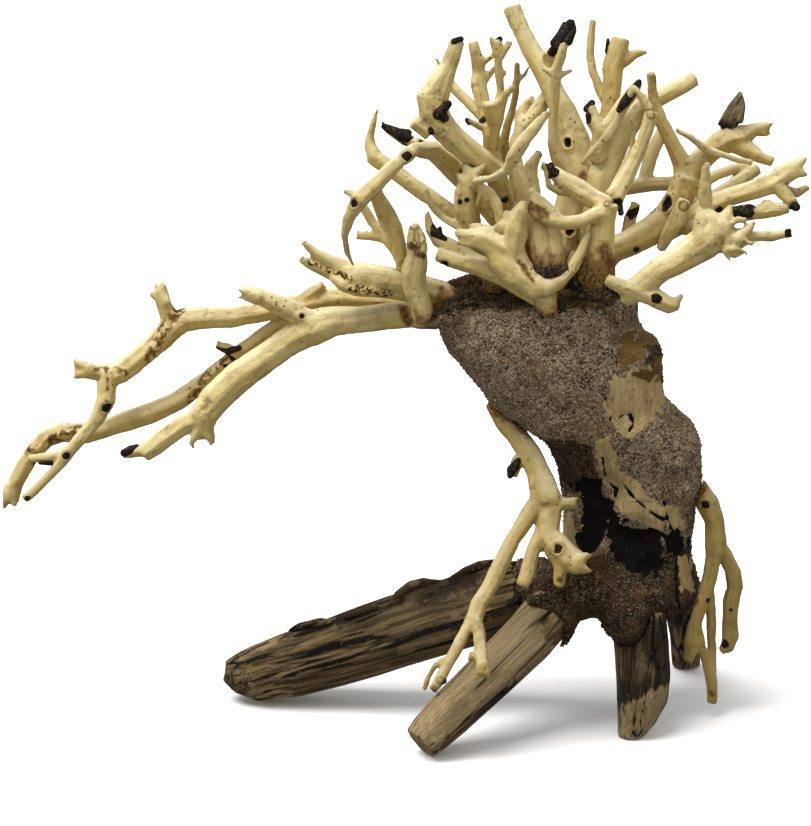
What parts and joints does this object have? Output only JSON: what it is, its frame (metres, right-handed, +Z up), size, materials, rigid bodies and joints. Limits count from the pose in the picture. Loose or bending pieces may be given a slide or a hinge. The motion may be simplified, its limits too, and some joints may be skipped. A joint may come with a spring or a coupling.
{
  "type": "driftwood bonsai ornament",
  "caption": "Small leaning tree put together from driftwood: dark log roots, a crusted and charred trunk, long arms and a crown of pale peeled branches; it stands free as decor.",
  "frame": {"origin": "centre of the bounding box's underside, on the floor that the roots stand on", "axes": "+X to the right as the picture shows the tree, along its longest extent; +Y to its back; +Z up"},
  "size_m": [0.2958, 0.1106, 0.2621],
  "materials": {
    "glue_crust": "rough crust of wood crumbs and glue, charred in places",
    "log_wood": "dark weathered driftwood with open grain",
    "peeled_wood": "peeled, dry and matte",
    "dark_bark": "rough dark bark"
  },
  "bodies": {
    "root": {"trunk": "glue_crust", "root_left": "log_wood", "root_front": "log_wood", "root_right_front": "log_wood", "root_right_back": "log_wood", "drooping_front": "peeled_wood", "drooping_front_left": "peeled_wood", "drooping_front_right": "peeled_wood", "drooping_right": "peeled_wood", "drooping_right_inner": "peeled_wood", "drooping_right_outer": "peeled_wood", "arm_front": "peeled_wood", "arm_front_outer": "peeled_wood", "arm_front_prong": "peeled_wood", "arm_back": "peeled_wood", "arm_back_outer": "peeled_wood", "arm_back_lower": "peeled_wood", "arm_low": "peeled_wood", "flared_branch": "peeled_wood", "finger_branch": "peeled_wood", "thorn_branch": "peeled_wood", "tall_branch_left": "peeled_wood", "hook_branch": "peeled_wood", "cork_branch": "peeled_wood", "back_twig_left": "peeled_wood", "stump_branch": "peeled_wood", "thick_stub": "peeled_wood", "cluster_branch": "peeled_wood", "white_twig_left": "peeled_wood", "dark_twig": "peeled_wood", "curved_branch": "peeled_wood", "pale_stub": "peeled_wood", "crown_stem": "peeled_wood", "slanting_branch": "peeled_wood", "forked_branch": "peeled_wood", "front_stick": "peeled_wood", "thick_upright": "peeled_wood", "thin_upright": "peeled_wood", "bark_chip_top": "dark_bark", "back_crosspiece": "peeled_wood", "bow_branch": "peeled_wood", "bow_arm": "peeled_wood", "pointed_stick": "peeled_wood", "white_twig_right": "peeled_wood", "cup_branch": "peeled_wood", "cup_crest": "peeled_wood", "right_stem": "peeled_wood", "right_stem_inner": "peeled_wood", "right_stem_outer": "peeled_wood", "bark_chip_right": "dark_bark", "crossing_twig": "peeled_wood", "long_right_branch": "peeled_wood", "lower_right_branch": "peeled_wood", "back_twig_right": "peeled_wood", "front_right_branch": "peeled_wood", "front_right_tip": "peeled_wood", "shard": "peeled_wood", "plank": "peeled_wood"}
  },
  "joints": []
}
